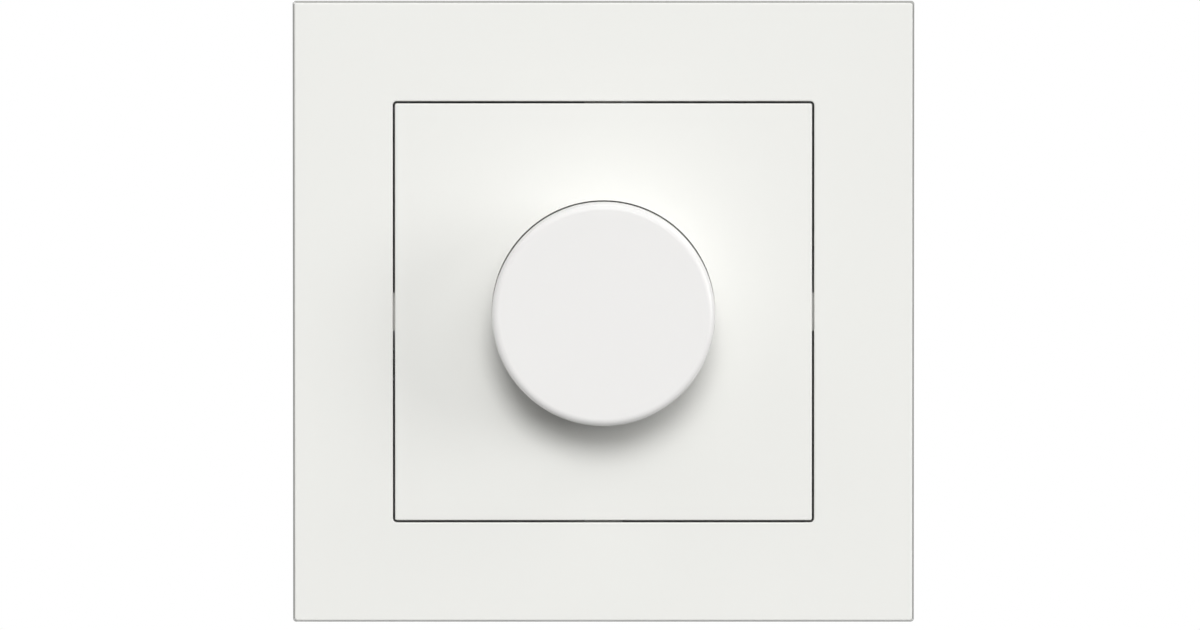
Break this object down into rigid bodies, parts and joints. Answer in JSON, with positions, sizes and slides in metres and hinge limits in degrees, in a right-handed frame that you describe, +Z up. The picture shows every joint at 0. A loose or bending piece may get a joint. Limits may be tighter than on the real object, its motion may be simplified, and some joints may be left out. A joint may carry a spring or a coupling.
{
  "type": "rotary dimmer switch",
  "caption": "Flush-mounted rotary push dimmer: square white cover frame, level centre plate and plain round knob, on a steel mounting plate with spreading claws and a round insert behind.",
  "frame": {"origin": "middle of the box screw pattern, on the wall face behind the mounting plate", "axes": "-Y out of the wall towards the room, +Z up the wall, +X to the right as seen from the room"},
  "size_m": [0.0816, 0.0574, 0.0816],
  "materials": {
    "cover_white": "satin white moulding",
    "knob_white": "satin white moulding",
    "zinc_steel": "zinc plated",
    "screw_steel": "zinc plated",
    "spring_steel": "bright",
    "nickel_brass": "nickel plated",
    "die_cast": "as cast",
    "shaft_plastic": "moulded",
    "black_moulding": "moulded",
    "wafer": "pressed paper board",
    "carbon": "printed",
    "contact_metal": "silver faced",
    "housing_grey": "fine grained",
    "board": "lacquered",
    "ferrite": "sintered",
    "copper": "bright",
    "capacitor_box": "moulded",
    "resistor_lacquer": "lacquered",
    "tinned": "tinned",
    "fuse_glass": "clear",
    "terminal_grey": "moulded",
    "release_orange": "moulded"
  },
  "bodies": {
    "base": {"cover_frame": "cover_white", "centre_plate": "cover_white", "ring_nut": "nickel_brass", "bush": "die_cast", "bush_nut": "nickel_brass", "potentiometer_cup": "black_moulding", "track_wafer": "wafer", "resistive_track": "carbon", "potentiometer_pins": "nickel_brass", "switch_housing": "black_moulding", "switch_base": "black_moulding", "return_spring": "spring_steel", "fixed_contacts": "contact_metal", "mounting_plate": "zinc_steel", "claw_pins": "zinc_steel", "insert_housing": "housing_grey", "housing_screws": "screw_steel", "circuit_board": "board", "choke_core": "ferrite", "choke_winding": "copper", "suppression_capacitor": "capacitor_box", "timing_capacitor": "capacitor_box", "resistors": "resistor_lacquer", "triac_body": "black_moulding", "triac_tab": "tinned", "triac_screw": "screw_steel", "heat_spreader": "tinned", "spreader_rivets": "screw_steel", "fuse_tube": "fuse_glass", "fuse_caps": "nickel_brass", "fuse_clips": "spring_steel", "trimmer_body": "black_moulding", "terminal_block_1": "terminal_grey", "clamp_spring_1": "spring_steel", "busbar_1": "copper", "terminal_block_2": "terminal_grey", "clamp_spring_2": "spring_steel", "busbar_2": "copper", "terminal_block_3": "terminal_grey", "clamp_spring_3": "spring_steel", "busbar_3": "copper"},
    "plunger": {"switch_plunger": "shaft_plastic"},
    "knob_and_shaft": {"knob": "knob_white", "knob_clip": "spring_steel", "shaft": "shaft_plastic", "shaft_retaining_ring": "spring_steel"},
    "rotor": {"rotor": "shaft_plastic", "wiper": "spring_steel"},
    "rocker": {"contact_rocker": "shaft_plastic", "moving_contact": "contact_metal"},
    "trimmer": {"trimmer_spindle": "shaft_plastic"},
    "claw_right": {"claw_right": "zinc_steel"},
    "claw_left": {"claw_left": "zinc_steel"},
    "claw_screw_right": {"claw_screw_right": "screw_steel"},
    "claw_screw_left": {"claw_screw_left": "screw_steel"},
    "release_button_1": {"release_button_1": "release_orange"},
    "release_button_2": {"release_button_2": "release_orange"},
    "release_button_3": {"release_button_3": "release_orange"}
  },
  "joints": [
    {"name": "knob_push", "type": "slide", "parent": "base", "child": "plunger", "axis": [0, 1, 0], "range_m": [0, 0.0015], "stiffness_N_per_m": 1500, "springref_m": -0.001, "deforming": ["return_spring"]},
    {"name": "knob_turn", "type": "hinge", "parent": "plunger", "child": "knob_and_shaft", "pos_m": [0, 0, 0], "axis": [0, 1, 0], "range_deg": [0, 280]},
    {"name": "rotor_turn", "type": "hinge", "parent": "base", "child": "rotor", "pos_m": [0, 0, 0], "axis": [0, 1, 0], "range_deg": [0, 280]},
    {"name": "rocker_tip", "type": "hinge", "parent": "base", "child": "rocker", "pos_m": [0, 0.01905, 0], "axis": [0, 0, 1], "range_deg": [-6, 6]},
    {"name": "trimmer_turn", "type": "hinge", "parent": "base", "child": "trimmer", "pos_m": [-0.01255, 0, 0.01255], "axis": [0, 1, 0], "range_deg": [0, 270]},
    {"name": "claw_screw_right_turn", "type": "hinge", "parent": "base", "child": "claw_screw_right", "pos_m": [0.02559, 0, 0.007], "axis": [0, 1, 0], "range_deg": [0, 1440]},
    {"name": "claw_right_swing", "type": "hinge", "parent": "base", "child": "claw_right", "pos_m": [0.02279, 0.006, 0.007], "axis": [0, 0, -1], "range_deg": [0, 28]},
    {"name": "claw_screw_left_turn", "type": "hinge", "parent": "base", "child": "claw_screw_left", "pos_m": [-0.02559, 0, -0.007], "axis": [0, 1, 0], "range_deg": [0, 1440]},
    {"name": "claw_left_swing", "type": "hinge", "parent": "base", "child": "claw_left", "pos_m": [-0.02279, 0.006, -0.007], "axis": [0, 0, 1], "range_deg": [0, 28]},
    {"name": "release_button_1_press", "type": "slide", "parent": "base", "child": "release_button_1", "axis": [0, -1, 0], "range_m": [0, 0.0012], "stiffness_N_per_m": 3000, "springref_m": -0.0005, "deforming": ["clamp_spring_1"]},
    {"name": "release_button_2_press", "type": "slide", "parent": "base", "child": "release_button_2", "axis": [0, -1, 0], "range_m": [0, 0.0012], "stiffness_N_per_m": 3000, "springref_m": -0.0005, "deforming": ["clamp_spring_2"]},
    {"name": "release_button_3_press", "type": "slide", "parent": "base", "child": "release_button_3", "axis": [0, -1, 0], "range_m": [0, 0.0012], "stiffness_N_per_m": 3000, "springref_m": -0.0005, "deforming": ["clamp_spring_3"]}
  ],
  "couplings": [
    {"joint": "rotor_turn", "follows": "knob_turn", "ratio": 1},
    {"joint": "claw_right_swing", "follows": "claw_screw_right_turn", "ratio": 0.019444},
    {"joint": "claw_left_swing", "follows": "claw_screw_left_turn", "ratio": 0.019444}
  ]
}
